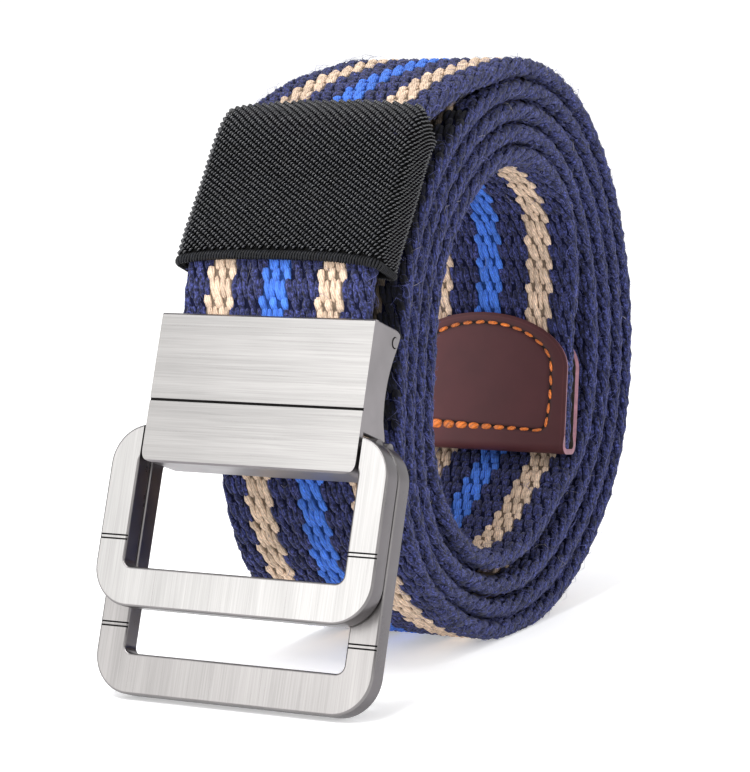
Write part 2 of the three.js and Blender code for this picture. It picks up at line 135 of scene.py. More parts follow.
class MetalSettings(bpy.types.PropertyGroup):
    plate: colour("Plate", "Brushed plate of the housing", (0.357, 0.347, 0.34))
    front: colour("Front ring", "Brushed face of the front ring", (0.43, 0.42, 0.412))
    rear: colour("Back ring", "Brushed face of the back ring", (0.335, 0.322, 0.316))
    side: colour("Side", "Housing sides", (0.235, 0.22, 0.227))
    bevel: colour("Bevel", "Rounded edges of the faces", (0.2, 0.19, 0.19))
    dark: colour("Dark", "Ring sides", (0.13, 0.12, 0.125))
    line: colour("Line", "Engraved lines", (0.015, 0.014, 0.014))
    edge: length("Edge", "Rounding of the housing's edges", 0.12)
    streak: length("Streak", "Spacing of the brushing", 0.26)


class StageSettings(bpy.types.PropertyGroup):
    camera_right: length("Camera right", "Camera place across the belt", 250.674)
    camera_front: length("Camera front", "Camera place in front of the belt", 478.687)
    camera_height: length("Camera height", "Camera place above the floor", 115.016)
    azimuth: bpy.props.FloatProperty(
        name="Azimuth", description="Turn of the view", default=0.4928151, subtype="ANGLE"
    )
    elevation: bpy.props.FloatProperty(
        name="Elevation", description="Drop of the view", default=0.1198761, subtype="ANGLE"
    )
    roll: bpy.props.FloatProperty(
        name="Roll", description="Roll of the view", default=-0.0192936, subtype="ANGLE"
    )
    lens: bpy.props.FloatProperty(name="Lens", description="Focal length", default=129.32)
    floor_size: bpy.props.FloatProperty(
        name="Floor size", description="Side of the pale floor", default=12, unit="LENGTH"
    )
    surround: bpy.props.FloatProperty(
        name="Surround", description="Brightness of the surround overhead", default=0.8
    )


class BeltSettings(bpy.types.PropertyGroup):
    webbing: bpy.props.PointerProperty(type=WebbingSettings)
    elastic: bpy.props.PointerProperty(type=ElasticSettings)
    leather: bpy.props.PointerProperty(type=LeatherSettings)
    metal: bpy.props.PointerProperty(type=MetalSettings)
    stage: bpy.props.PointerProperty(type=StageSettings)


# The line of the belt


def strap_outline():
    """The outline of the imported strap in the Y-Z plane, walked once round."""
    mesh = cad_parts["webbing_strap"].data
    places = np.empty(len(mesh.vertices) * 3)
    mesh.vertices.foreach_get("co", places)
    places = places.reshape(-1, 3)
    mesh.calc_loop_triangles()
    corners = np.empty(len(mesh.loop_triangles) * 3, int)
    mesh.loop_triangles.foreach_get("vertices", corners)
    corners = corners.reshape(-1, 3)
    across = places[corners, 0]
    spanning = (across.min(1) < -MM) & (across.max(1) > MM)
    links = {}
    for row in corners[spanning]:
        ends = {tuple(np.round(places[v, 1:], 6)) for v in row if places[v, 0] > 0}
        if len(ends) == 2:
            one, other = ends
            links.setdefault(one, []).append(other)
            links.setdefault(other, []).append(one)
    start = next(iter(links))
    walk = [start, links[start][0]]
    while walk[-1] != start:
        onward = [p for p in links[walk[-1]] if p != walk[-2]]
        walk.append(onward[0])
    return np.array(walk[:-1])


def smooth_line(points, step):
    """A smooth line through points, sampled every step."""
    along = np.concatenate([[0], np.cumsum(np.linalg.norm(np.diff(points, axis=0), axis=1))])
    slopes = np.gradient(points, along, axis=0)
    at = np.arange(0, along[-1], step)
    i = np.clip(np.searchsorted(along, at, "right") - 1, 0, len(along) - 2)
    span = (along[i + 1] - along[i])[:, None]
    t = ((at - along[i]) / span[:, 0])[:, None]
    rise = points[i + 1] - points[i]
    start, end = slopes[i] * span, slopes[i + 1] * span
    cubic, square = start + end - 2 * rise, 3 * rise - 2 * start - end
    return points[i] + t * (start + t * (square + t * cubic))


class BeltLine:
    """The middle of the webbing from the free end to the buckle, with its outward side."""

    def __init__(self):
        outline = strap_outline()
        edges = np.roll(outline, -1, 0) - outline
        edges /= np.linalg.norm(edges, axis=1)[:, None]
        turn = np.sum(edges * np.roll(edges, 1, 0), axis=1)
        corners = np.sort(np.argsort(turn)[:4])
        spans = np.diff(np.append(corners, corners[0] + len(outline)))
        first = int(np.argmax(spans))
        ring = np.roll(outline, -corners[first], 0)
        one = ring[: spans[first] + 1]
        other_start = spans[first] + spans[(first + 1) % 4]
        other = ring[other_start : other_start + spans[(first + 2) % 4] + 1][::-1]
        count = min(len(one), len(other))
        middle = (one[:count] + other[:count]) / 2
        low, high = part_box("leather_tip")
        inside = low[1] < middle[0, 0] < high[1] and low[2] < middle[0, 1] < high[2]
        if not inside:
            middle = middle[::-1]
        line = smooth_line(middle, 0.5 * MM)
        steps = np.linalg.norm(np.diff(line, axis=0), axis=1)
        self.along = np.concatenate([[0], np.cumsum(steps)])
        self.length = self.along[-1]
        self.line = line
        tangent = np.gradient(line, self.along, axis=0)
        kernel = np.hanning(15) / np.hanning(15).sum()
        padded = np.pad(tangent, ((7, 7), (0, 0)), mode="edge")
        tangent = np.stack([np.convolve(padded[:, k], kernel, "valid") for k in (0, 1)], 1)
        tangent /= np.linalg.norm(tangent, axis=1)[:, None]
        self.tangent = tangent
        self.outward = np.stack([tangent[:, 1], -tangent[:, 0]], 1)

    def at(self, values, s):
        return np.stack([np.interp(s, self.along, values[:, k]) for k in (0, 1)], -1)

    def places(self, s, x, n):
        """Points at length s, x across and n outward; past an end the line runs on straight."""
        over = s - np.clip(s, 0, self.length)
        flat = self.at(self.line, s) + self.at(self.outward, s) * n[..., None]
        flat += self.at(self.tangent, s) * over[..., None]
        return np.stack([x, flat[..., 0], np.maximum(flat[..., 1], 0.02 * MM)], -1)

    def hidden(self, s, side, reach=6.4 * MM):
        """Whether another turn lies within reach over that side of the belt at length s."""
        here = self.at(self.line, s)
        outward = self.at(self.outward, s) * side
        others = self.line[::4]
        gap = others[None] - here[:, None]
        up = np.sum(gap * outward[:, None], axis=2)
        beside = np.abs(gap[..., 0] * outward[:, None, 1] - gap[..., 1] * outward[:, None, 0])
        return np.any((up > 2 * MM) & (up < reach) & (beside < 1.2 * MM), axis=1)


class Section:
    """A rounded outline round the belt, measured from the middle of its outer face."""

    def __init__(self, half_width, outer, inner, corner):
        quarter = np.linspace(0, math.pi / 2, 13)
        sine, cosine = np.sin(quarter), np.cos(quarter)
        x = [[0], half_width - corner + corner * sine, half_width - corner + corner * cosine]
        n = [[outer], outer - corner + corner * cosine, corner - inner - corner * sine]
        a = [[0], sine, cosine]
        b = [[1], cosine, -sine]
        x, n, a, b = (np.concatenate(v) for v in (x, n, a, b))
        self.x = np.concatenate([x, [0], -x[::-1]])
        self.n = np.concatenate([n, [-inner], n[::-1]])
        self.a = np.concatenate([a, [0], -a[::-1]])
        self.b = np.concatenate([b, [-1], b[::-1]])
        steps = np.hypot(np.diff(self.x), np.diff(self.n))
        self.q = np.concatenate([[0], np.cumsum(steps)])
        self.round = self.q[-1]

    def at(self, q, height):
        q = np.mod(q, self.round)
        x, n, a, b = (np.interp(q, self.q, v) for v in (self.x, self.n, self.a, self.b))
        return x + a * height, n + b * height


# Mesh helpers


def deselect():
    bpy.ops.object.select_all(action="DESELECT")


def take_up(obj):
    deselect()
    obj.select_set(True)
    bpy.context.view_layer.objects.active = obj
    return obj


def dressed(obj, body, slot, *materials):
    for material in materials:
        obj.data.materials.append(material)
    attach(obj, body)
    return obj


def grain(segments, rings, fullness):
    """One rounded yarn bulge of unit size, lying along its first axis: places and faces."""
    deselect()
    bpy.ops.mesh.primitive_uv_sphere_add(segments=segments, ring_count=rings, radius=0.5)
    obj = bpy.context.object
    bpy.ops.object.mode_set(mode="EDIT")
    bpy.ops.mesh.select_all(action="SELECT")
    bpy.ops.mesh.normals_make_consistent(inside=False)
    bpy.ops.object.mode_set(mode="OBJECT")
    places = np.array([(v.co.z, v.co.x, v.co.y) for v in obj.data.vertices])
    faces = [list(p.vertices) for p in obj.data.polygons]
    bpy.data.objects.remove(obj)
    ends = np.clip(np.abs(2 * places[:, 0]), 0, 0.999)
    fuller = (1 - ends**fullness) ** (1 / fullness) / np.sqrt(1 - ends**2)
    places[:, 1:] *= fuller[:, None]
    return places, faces


def piece_from(name, places, faces, colours=None, uv=None):
    """One mesh of many like copies: places is copies by points by 3, faces are of one copy."""
    copies, points = places.shape[:2]
    loops = np.concatenate([np.array(f) for f in faces])
    totals = np.array([len(f) for f in faces])
    offsets = np.arange(copies)[:, None] * points
    all_loops = (loops[None] + offsets).ravel()
    all_totals = np.tile(totals, copies)
    starts = np.concatenate([[0], np.cumsum(all_totals)[:-1]])
    mesh = bpy.data.meshes.new(name)
    mesh.vertices.add(copies * points)
    mesh.vertices.foreach_set("co", places.astype(np.float32).ravel())
    mesh.loops.add(len(all_loops))
    mesh.loops.foreach_set("vertex_index", all_loops.astype(np.int32))
    mesh.polygons.add(len(all_totals))
    mesh.polygons.foreach_set("loop_start", starts.astype(np.int32))
    mesh.polygons.foreach_set("use_smooth", np.ones(len(all_totals), bool))
    mesh.update(calc_edges=True)
    if colours is not None:
        layer = mesh.color_attributes.new(name="yarn_colour", type="FLOAT_COLOR", domain="POINT")
        full = np.concatenate([colours, np.ones(colours.shape[:-1] + (1,))], -1)
        layer.data.foreach_set("color", full.astype(np.float32).ravel())
    if uv is not None:
        layer = mesh.uv_layers.new(name="yarn_map")
        flat = uv.reshape(-1, 2)[all_loops]
        layer.data.foreach_set("uv", flat.astype(np.float32).ravel())
    obj = bpy.data.objects.new(name, mesh)
    bpy.context.scene.collection.objects.link(obj)
    return obj


def laid(name, line, section, form, yarns):
    """Yarn bulges laid on a section round the belt. yarns holds one array per named value."""
    places, faces = form
    a, b, c = (places[None, :, k] for k in range(3))
    y = {k: np.asarray(v)[:, None] for k, v in yarns.items() if k != "colour"}
    along = a * y["length"]
    across = b * y["width"] + along * np.tan(y["slant"])
    height = y["rise"] + c * y["thickness"] - y["drop"] * (2 * a) ** 2
    s, q = y["s"] + along, y["q"] + across
    x, n = section.at(q, height)
    solid = line.places(s, x, n)
    # Painted shade: each bulge's colour darkens to half towards its ends, where it dives under its neighbours.
    ends = 1 - 0.5 * np.clip(np.abs(2 * a), 0, 1) ** 4
    shade = np.asarray(yarns["colour"])[:, None, :] * (ends * np.ones_like(s))[..., None]
    mark = np.stack([across / MM + y["s"] * 97, along / MM + y["q"] * 3700], -1)
    return piece_from(name, solid, faces, shade, mark)


def sleeve(name, line, outer, inner, ends):
    """A closed sleeve round the belt between two sections. ends gives both its rims at x."""
    share = np.linspace(0, 1, 48)[:, None]
    rounds = []
    for section in (outer, inner):
        x, n = section.at(np.linspace(0, section.round, 120, endpoint=False)[None], 0)
        high, low = ends(x)
        s = high + (low - high) * share
        rounds.append(line.places(s, x + 0 * s, n + 0 * s))
    places = np.concatenate([rounds[0], rounds[1][::-1]])
    rows, columns = places.shape[:2]
    faces = [
        [r * columns + c, r * columns + d, (r + 1) % rows * columns + d, (r + 1) % rows * columns + c]
        for r in range(rows)
        for c in range(columns)
        for d in [(c + 1) % columns]
    ]
    obj = piece_from(name, places.reshape(1, -1, 3), faces)
    mesh_faces_outward(obj)
    return obj


def mesh_faces_outward(obj):
    take_up(obj)
    bpy.ops.object.mode_set(mode="EDIT")
    bpy.ops.mesh.select_all(action="SELECT")
    bpy.ops.mesh.normals_make_consistent(inside=False)
    bpy.ops.object.mode_set(mode="OBJECT")


def copy_of(node, name, shrink=0.0):
    """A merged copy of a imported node, drawn in by shrink."""
    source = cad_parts[node]
    obj = bpy.data.objects.new(name, source.data.copy())
    bpy.context.scene.collection.objects.link(obj)
    obj.data.materials.clear()
    take_up(obj)
    bpy.ops.object.mode_set(mode="EDIT")
    bpy.ops.mesh.select_all(action="SELECT")
    bpy.ops.mesh.remove_doubles(threshold=0.002 * MM)
    if shrink:
        bpy.ops.transform.shrink_fatten(value=-shrink, use_even_offset=True)
    else:
        bpy.ops.mesh.dissolve_limited(angle_limit=math.radians(0.4))
    bpy.ops.object.mode_set(mode="OBJECT")
    return obj


# Material helpers


class Nodes:
    """A short hand for a material's node tree."""

    def __init__(self, name):
        self.material = bpy.data.materials.new(name)
        self.material.use_nodes = True
        self.tree = self.material.node_tree
        self.shader = self.tree.nodes["Principled BSDF"]

    def add(self, kind, inputs=None, **settings):
        node = self.tree.nodes.new("ShaderNode" + kind)
        for key, value in settings.items():
            setattr(node, key, value)
        for key, value in (inputs or {}).items():
            self.give(node.inputs[key], value)
        return node

    def give(self, socket, value):
        if isinstance(value, bpy.types.NodeSocket):
            self.tree.links.new(value, socket)
        elif isinstance(value, (tuple, list)) and len(value) == 3 and socket.type == "RGBA":
            socket.default_value = (*value, 1)
        else:
            socket.default_value = value

    def set(self, key, value):
        self.give(self.shader.inputs[key], value)

    def ramp(self, factor, *stops):
        node = self.add("ValToRGB", {"Fac": factor})
        elements = node.color_ramp.elements
        while len(elements) < len(stops):
            elements.new(0.5)
        for element, (place, value) in zip(elements, stops):
            element.position = place
            element.color = (*value, 1) if isinstance(value, tuple) else (value, value, value, 1)
        return node.outputs["Color"]

    def times(self, one, other, share=1.0):
        node = self.add("Mix", data_type="RGBA", blend_type="MULTIPLY")
        node.inputs["Factor"].default_value = share
        self.give(node.inputs["A"], one)
        self.give(node.inputs["B"], other)
        return node.outputs["Result"]

    def bump(self, height, strength, distance, onto=None):
        node = self.add("Bump", {"Height": height, "Strength": strength, "Distance": distance})
        if onto is not None:
            self.give(node.inputs["Normal"], onto)
        return node.outputs["Normal"]


def object_place(nodes, scale=(1, 1, 1), turn=0.0):
    """Places on the object, turned about the belt's width and then scaled."""
    place = nodes.add("TexCoord").outputs["Object"]
    turned = nodes.add("Mapping", {"Vector": place, "Rotation": (turn, 0, 0)}).outputs["Vector"]
    return nodes.add("Mapping", {"Vector": turned, "Scale": scale}).outputs["Vector"]


def yarn_material(
    name, roughness, sheen, ply_strength, fibre_dark, fibre_light, mottle, gloss=0.25
):
    """Twisted spun yarn: plies run slantwise along each float, with fine fibres between."""
    n = Nodes(name)
    base = n.add("VertexColor", layer_name="yarn_colour").outputs["Color"]
    mark = n.add("UVMap", uv_map="yarn_map").outputs["UV"]
    turned = n.add("Mapping", {"Vector": mark, "Rotation": (0, 0, math.radians(24))}).outputs[0]
    plies = n.add(
        "TexWave",
        {"Vector": turned, "Scale": 0.72, "Distortion": 2.0, "Detail": 1.0, "Detail Scale": 1.2},
    ).outputs["Fac"]
    strung = n.add("Mapping", {"Vector": turned, "Scale": (3.4, 1.0, 1)}).outputs[0]
    fibres = n.add(
        "TexNoise",
        {"Vector": strung, "Scale": 1.0, "Detail": 4.0, "Roughness": 0.65, "Distortion": 0.9},
    ).outputs["Fac"]
    fluff = n.add(
        "TexNoise", {"Vector": object_place(n), "Scale": 1900.0, "Detail": 3.0, "Distortion": 0.6}
    ).outputs["Fac"]
    cloud = n.add("TexNoise", {"Vector": object_place(n), "Scale": 160.0, "Detail": 2.0}).outputs[
        "Fac"
    ]
    # Painted shade and light: the colour darkens in the grooves between plies and lightens on their crests; the
    # fibre and fluff specks are partly the fibres' own tone and partly painted highlight and shade.
    tone = n.times(base, n.ramp(plies, (0.0, 0.74), (0.5, 1.0), (1.0, 1.1)))
    tone = n.times(tone, n.ramp(fibres, (0.36, fibre_dark), (0.5, 1.0), (0.66, fibre_light)))
    tone = n.times(tone, n.ramp(fluff, (0.42, 1 - mottle), (0.6, 1 + 1.5 * mottle)))
    tone = n.times(tone, n.ramp(cloud, (0.3, 0.86), (0.7, 1.08)))
    n.set("Base Color", tone)
    n.set("Roughness", roughness)
    n.set("Sheen Weight", sheen)
    n.set("Sheen Roughness", 0.6)
    n.set("Specular IOR Level", gloss)
    rise = n.bump(plies, ply_strength, 0.1 * MM)
    n.set("Normal", n.bump(fibres, 0.8, 0.12 * MM, rise))
    return n.material


def ground_material(name, tone):
    n = Nodes(name)
    fibres = n.add(
        "TexNoise", {"Vector": object_place(n), "Scale": 1800.0, "Detail": 3.0}
    ).outputs["Fac"]
    n.set("Base Color", n.times(tuple(tone), n.ramp(fibres, (0.3, 0.6), (0.7, 1.3))))
    n.set("Roughness", 0.95)
    n.set("Specular IOR Level", 0.1)
    n.set("Normal", n.bump(fibres, 0.6, 0.15 * MM))
    return n.material


def striped_shaded_ground(name, webbing):
    """The ground under the yarns, in the tone of the stripe above it and darkened as painted shade between the
    yarns.
    """
    n = Nodes(name)
    place = n.add("TexCoord").outputs["Object"]
    across = n.add("SeparateXYZ", {"Vector": place}).outputs["X"]
    half = webbing.half_width
    share = n.add("MapRange", {"Value": across, "From Min": -half, "From Max": half}).outputs[0]
    pitch = webbing.column_pitch / (2 * half)
    # Painted shade: the navy is darkened to 0.3 and each stripe's tone to 0.22 where the ground shows between
    # the yarns.
    stops = [(0.0, tuple(0.3 * c for c in webbing.navy))]
    for first, last, tone in ((4, 8, webbing.khaki), (14, 18, webbing.blue), (24, 28, webbing.khaki)):
        stops.append((0.5 + (first - 16.4) * pitch, tuple(0.22 * c for c in tone)))
        stops.append((0.5 + (last - 15.6) * pitch, tuple(0.3 * c for c in webbing.navy)))
    bands = n.ramp(share, *stops)
    bands.node.color_ramp.interpolation = "CONSTANT"
    fibres = n.add(
        "TexNoise", {"Vector": object_place(n), "Scale": 1800.0, "Detail": 3.0}
    ).outputs["Fac"]
    n.set("Base Color", n.times(bands, n.ramp(fibres, (0.3, 0.6), (0.7, 1.3))))
    n.set("Roughness", 0.95)
    n.set("Specular IOR Level", 0.1)
    n.set("Normal", n.bump(fibres, 0.6, 0.15 * MM))
    return n.material


def brushed_material(name, tone, reflection_sweep, streak, turn, run):
    """Satin metal with fine lines. run is the axis the lines follow: 0 across, 1 up the buckle.

    The sweep share brightens the colour from the left to the right, as a painted reflection.
    """
    n = Nodes(name)
    fine, slow = 1 / streak, 1 / (60 * streak)
    fine_scale = (slow, fine, fine) if run == 0 else (fine, fine, slow)
    lines = n.add(
        "TexNoise", {"Vector": object_place(n, fine_scale, turn), "Scale": 1.0, "Detail": 4.0}
    ).outputs["Fac"]
    broad_scale = (4, 260, 260) if run == 0 else (260, 260, 4)
    broad = n.add(
        "TexNoise", {"Vector": object_place(n, broad_scale, turn), "Scale": 1.0, "Detail": 3.0}
    ).outputs["Fac"]
    cloud = n.add("TexNoise", {"Vector": object_place(n), "Scale": 45.0, "Detail": 2.0}).outputs[
        "Fac"
    ]
    metal = n.times(tuple(tone), n.ramp(lines, (0.34, 0.87), (0.66, 1.06)))
    # Painted reflection: the colour brightens from the left to the right.
    across = n.add("SeparateXYZ", {"Vector": n.add("TexCoord").outputs["Object"]}).outputs["X"]
    span = {"From Min": -25 * MM, "From Max": 25 * MM, "To Min": 1 - reflection_sweep, "To Max": 1 + reflection_sweep}
    metal = n.times(metal, n.add("MapRange", {"Value": across, **span}).outputs[0])
    metal = n.times(metal, n.ramp(broad, (0.3, 0.9), (0.7, 1.05)))
    n.set("Base Color", n.times(metal, n.ramp(cloud, (0.3, 0.95), (0.7, 1.03))))
    n.set("Metallic", 1.0)
    n.set("Roughness", n.ramp(lines, (0.3, 0.27), (0.7, 0.4)))
    n.set("Normal", n.bump(lines, 0.3, 0.03 * MM))
    return n.material


def satin_material(name, tone, roughness):
    n = Nodes(name)
    grit = n.add("TexNoise", {"Vector": object_place(n), "Scale": 3200.0, "Detail": 2.0}).outputs[
        "Fac"
    ]
    wear = n.add("TexNoise", {"Vector": object_place(n), "Scale": 130.0, "Detail": 4.0}).outputs[
        "Fac"
    ]
    n.set("Base Color", n.times(tuple(tone), n.ramp(wear, (0.35, 0.88), (0.68, 1.1))))
    n.set("Metallic", 1.0)
    n.set("Roughness", n.ramp(wear, (0.3, roughness), (0.7, roughness + 0.1)))
    n.set("Normal", n.bump(grit, 0.12, 0.02 * MM))
    return n.material


# Webbing

COLUMNS = 33
LAST = COLUMNS - 1

# Per weave repeat, beside every second column: the kind of float, its place towards the next
# such column, its place in the repeat, its width in mm and its rise over the ground in mm.
FACE_FLOATS = (
    ("short", 0.0, 0.25, 1.65, 0.14),
    ("long", 0.3, 0.71, 1.3, 0.12),
    ("long", 0.76, 0.81, 1.2, 0.06),
)
SELVEDGE_FLOATS = (
    ("short", 0.0, 0.25, 1.6, 0.14),
    ("long", 0.24, 0.71, 1.35, 0.34),
    ("long", 0.5, 0.25, 1.45, 0.38),
    ("long", 0.76, 0.81, 1.35, 0.34),
)


def stripe_of(column):
    """The stripe that a column of the outer face belongs to."""
    if column in range(4, 9) or column in range(24, 29):
        return "khaki"
    return "blue" if column in range(14, 19) else "navy"


def shown(line, s, side, inset, elastic):
    """Which floats at lengths s are worth laying, inset columns from the nearer selvedge."""
    loop_low = line.length - elastic.above_end
    loop_high = loop_low - elastic.height
    covered = line.hidden(s, side)
    for step in (-3 * MM, 3 * MM):
        covered = covered & line.hidden(s + step, side)
    under_loop = (s > loop_high + 4 * MM) & (s < loop_low - 4 * MM)
    in_housing = s > line.length - 14 * MM
    in_leather = (s < 20 * MM) & (inset > 2)
    pressed = covered | (s < 28 * MM) | (s > line.length - 20 * MM)
    pressed |= (s > loop_high - 2 * MM) & (s < loop_low + 2 * MM)
    return (~covered | (inset < 3)) & ~(under_loop | in_housing | in_leather), pressed


class BELT_OT_webbing(bpy.types.Operator):
    """Lay the stripes, yarn by yarn, on both faces and both selvedges of the coiled webbing"""

    bl_idname = "belt.webbing"
    bl_label = "Webbing"

    def execute(self, context):
        settings = context.scene.canvas_belt.webbing
        line = BeltLine()
        section = Section(
            settings.half_width, settings.half_thickness, settings.half_thickness, settings.corner
        )
        core = copy_of("webbing_strap", "webbing_ground", shrink=0.42 * MM)
        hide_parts("webbing_strap")
        dressed(core, "belt", "striped_webbing", striped_shaded_ground("webbing_ground", settings))
        form = grain(6, 4, 2.3)
        plain = yarn_material("navy_cotton_yarn", 0.9, 0.08, 0.4, 0.36, 2.3, 0.62)
        bright = yarn_material("stripe_cotton_yarn", 0.85, 0.05, 0.75, 0.8, 1.12, 0.1)
        groups = {}
        for side in (1, -1):
            for column in range(0, COLUMNS, 2):
                self.lay_column(context, line, section, side, column, groups)
        for name, rows in groups.items():
            joined = {key: np.concatenate([r[key] for r in rows]) for key in rows[0]}
            obj = laid(name, line, section, form, joined)
            striped = name.startswith(("khaki", "blue"))
            dressed(obj, "belt", "striped_webbing", bright if striped else plain)
        return {"FINISHED"}

    def lay_column(self, context, line, section, side, column, groups):
        """Collect the floats from one column to the next, on the outer or the inner face."""
        settings = context.scene.canvas_belt.webbing
        pitch = settings.column_pitch
        start = (column - LAST / 2) * pitch
        to_next = 2 * pitch
        if column == LAST:
            to_next = section.round / 2 - 2 * start
        if side < 0:
            start += section.round / 2
        for kind, towards, phase, width, rise in (
            SELVEDGE_FLOATS if column == LAST else FACE_FLOATS
        ):
            own = column + (towards > 0)
            across = own if side > 0 else LAST - own
            stripe = stripe_of(across) if own <= LAST else "navy"
            inset = max(0, min(own, LAST - own))
            s = (np.arange(int(line.length / settings.repeat)) + phase) * settings.repeat
            keep, pressed = shown(line, s, side, inset, context.scene.canvas_belt.elastic)
            if own > LAST:
                keep = s < line.length - 4 * MM
                pressed = s < 28 * MM
            s, pressed = s[keep], pressed[keep]
            number = len(s)
            tone = np.clip(DICE.normal(1, 0.09, (number, 1)), 0.75, 1.3)
            if own <= LAST:
                in_front = line.at(line.line, s)[:, 0] < -5 * MM
                in_gap = in_front & line.hidden(s, side, 25 * MM) & ~line.hidden(s, side)
                tone = np.where(in_gap[:, None], settings.gap_shade * tone, tone)
            size = settings.short_float if kind == "short" else settings.long_float
            on_edge = own > LAST
            yarns = {
                "s": s + DICE.normal(0, 0.1 * MM, number),
                "q": start + towards * to_next + DICE.normal(0, 0.05 * MM, number),
                "length": size * DICE.normal(1.1 if on_edge else 1, 0.05, number),
                "width": width * MM * DICE.normal(1.16 if on_edge else 1, 0.05, number),
                "thickness": settings.yarn_thickness * DICE.normal(0.85 if on_edge else 1, 0.05, number),
                "rise": np.where(pressed, 0.0, rise * MM),
                "drop": np.full(number, (0.28 if on_edge else 0.45) * MM),
                "slant": settings.slant + DICE.normal(0, math.radians(4), number),
                "colour": np.array(getattr(settings, stripe))[None] * tone,
            }
            face = "outer" if side > 0 else "inner"
            if stripe != "navy":
                name = f"{stripe}_stripe_yarns"
            elif inset < 3:
                low_side = (own < COLUMNS / 2) == (side > 0)
                name = "selvedge_yarns_left" if low_side else "selvedge_yarns_right"
            else:
                name = f"navy_yarns_{face}"
            groups.setdefault(name, []).append(yarns)


class BELT_OT_hairs(bpy.types.Operator):
    """Scatter loose fibres over the cloth and its edges"""

    bl_idname = "belt.hairs"
    bl_label = "Loose hairs"

    def execute(self, context):
        settings = context.scene.canvas_belt.webbing
        line = BeltLine()
        section = Section(
            settings.half_width, settings.half_thickness, settings.half_thickness, settings.corner
        )
        count = settings.hairs
        s = DICE.uniform(30 * MM, line.length - 22 * MM, count)
        on_edge = DICE.random(count) < 0.72
        edge = np.where(DICE.random(count) < 0.5, 0.25, 0.75) * section.round
        q = np.where(
            on_edge,
            edge + DICE.normal(0, 0.9 * MM, count),
            DICE.uniform(0, section.round, count),
        )
        reach = settings.hair_length * DICE.uniform(0.3, 1, count) ** 1.5
        bearing = DICE.normal(0, 0.5, count) + math.pi * (DICE.random(count) < 0.5)
        curl = DICE.normal(0, 1.6, count)
        top = DICE.exponential(0.3, count).clip(0.05, 1.1) * MM
        share = np.linspace(0, 1, 4)[None]
        angle = bearing[:, None] + curl[:, None] * share
        radius = 0.04 * MM * (1 - 0.6 * share)
        rings = []
        for k in range(3):
            around = 2 * math.pi * k / 3
            sideways = np.cos(around) * radius
            lift = np.sin(around) * radius
            ss = s[:, None] + reach[:, None] * share * np.cos(angle) - np.sin(angle) * sideways
            qq = q[:, None] + reach[:, None] * share * np.sin(angle) + np.cos(angle) * sideways
            height = 0.5 * MM + top[:, None] * np.sin(share * math.pi * 0.75) + lift
            x, n = section.at(qq, height)
            rings.append(line.places(ss, x, n))
        places = np.stack(rings, 2).reshape(count, 12, 3)
        faces = [
            [3 * i + k, 3 * i + (k + 1) % 3, 3 * i + 3 + (k + 1) % 3, 3 * i + 3 + k]
            for i in range(3)
            for k in range(3)
        ]
        faces += [[2, 1, 0], [9, 10, 11]]
        pale = DICE.random(count) < 0.03
        tint = np.where(pale[:, None], np.array([[0.3, 0.28, 0.3]]), np.array([[0.11, 0.12, 0.32]]))
        tint = tint * DICE.uniform(0.5, 1.3, (count, 1))
        colours = np.repeat(tint[:, None, :], 12, 1)
        obj = piece_from("loose_hairs", places, faces, colours)
        mesh_faces_outward(obj)
        n = Nodes("loose_fibre")
        base = n.add("VertexColor", layer_name="yarn_colour").outputs["Color"]
        speck = n.add(
            "TexNoise", {"Vector": object_place(n), "Scale": 900.0, "Detail": 1.0}
        ).outputs["Fac"]
        n.set("Base Color", n.times(base, n.ramp(speck, (0.3, 0.8), (0.7, 1.2))))
        n.set("Roughness", 0.8)
        dressed(obj, "belt", "striped_webbing", n.material)
        return {"FINISHED"}


# Elastic loop


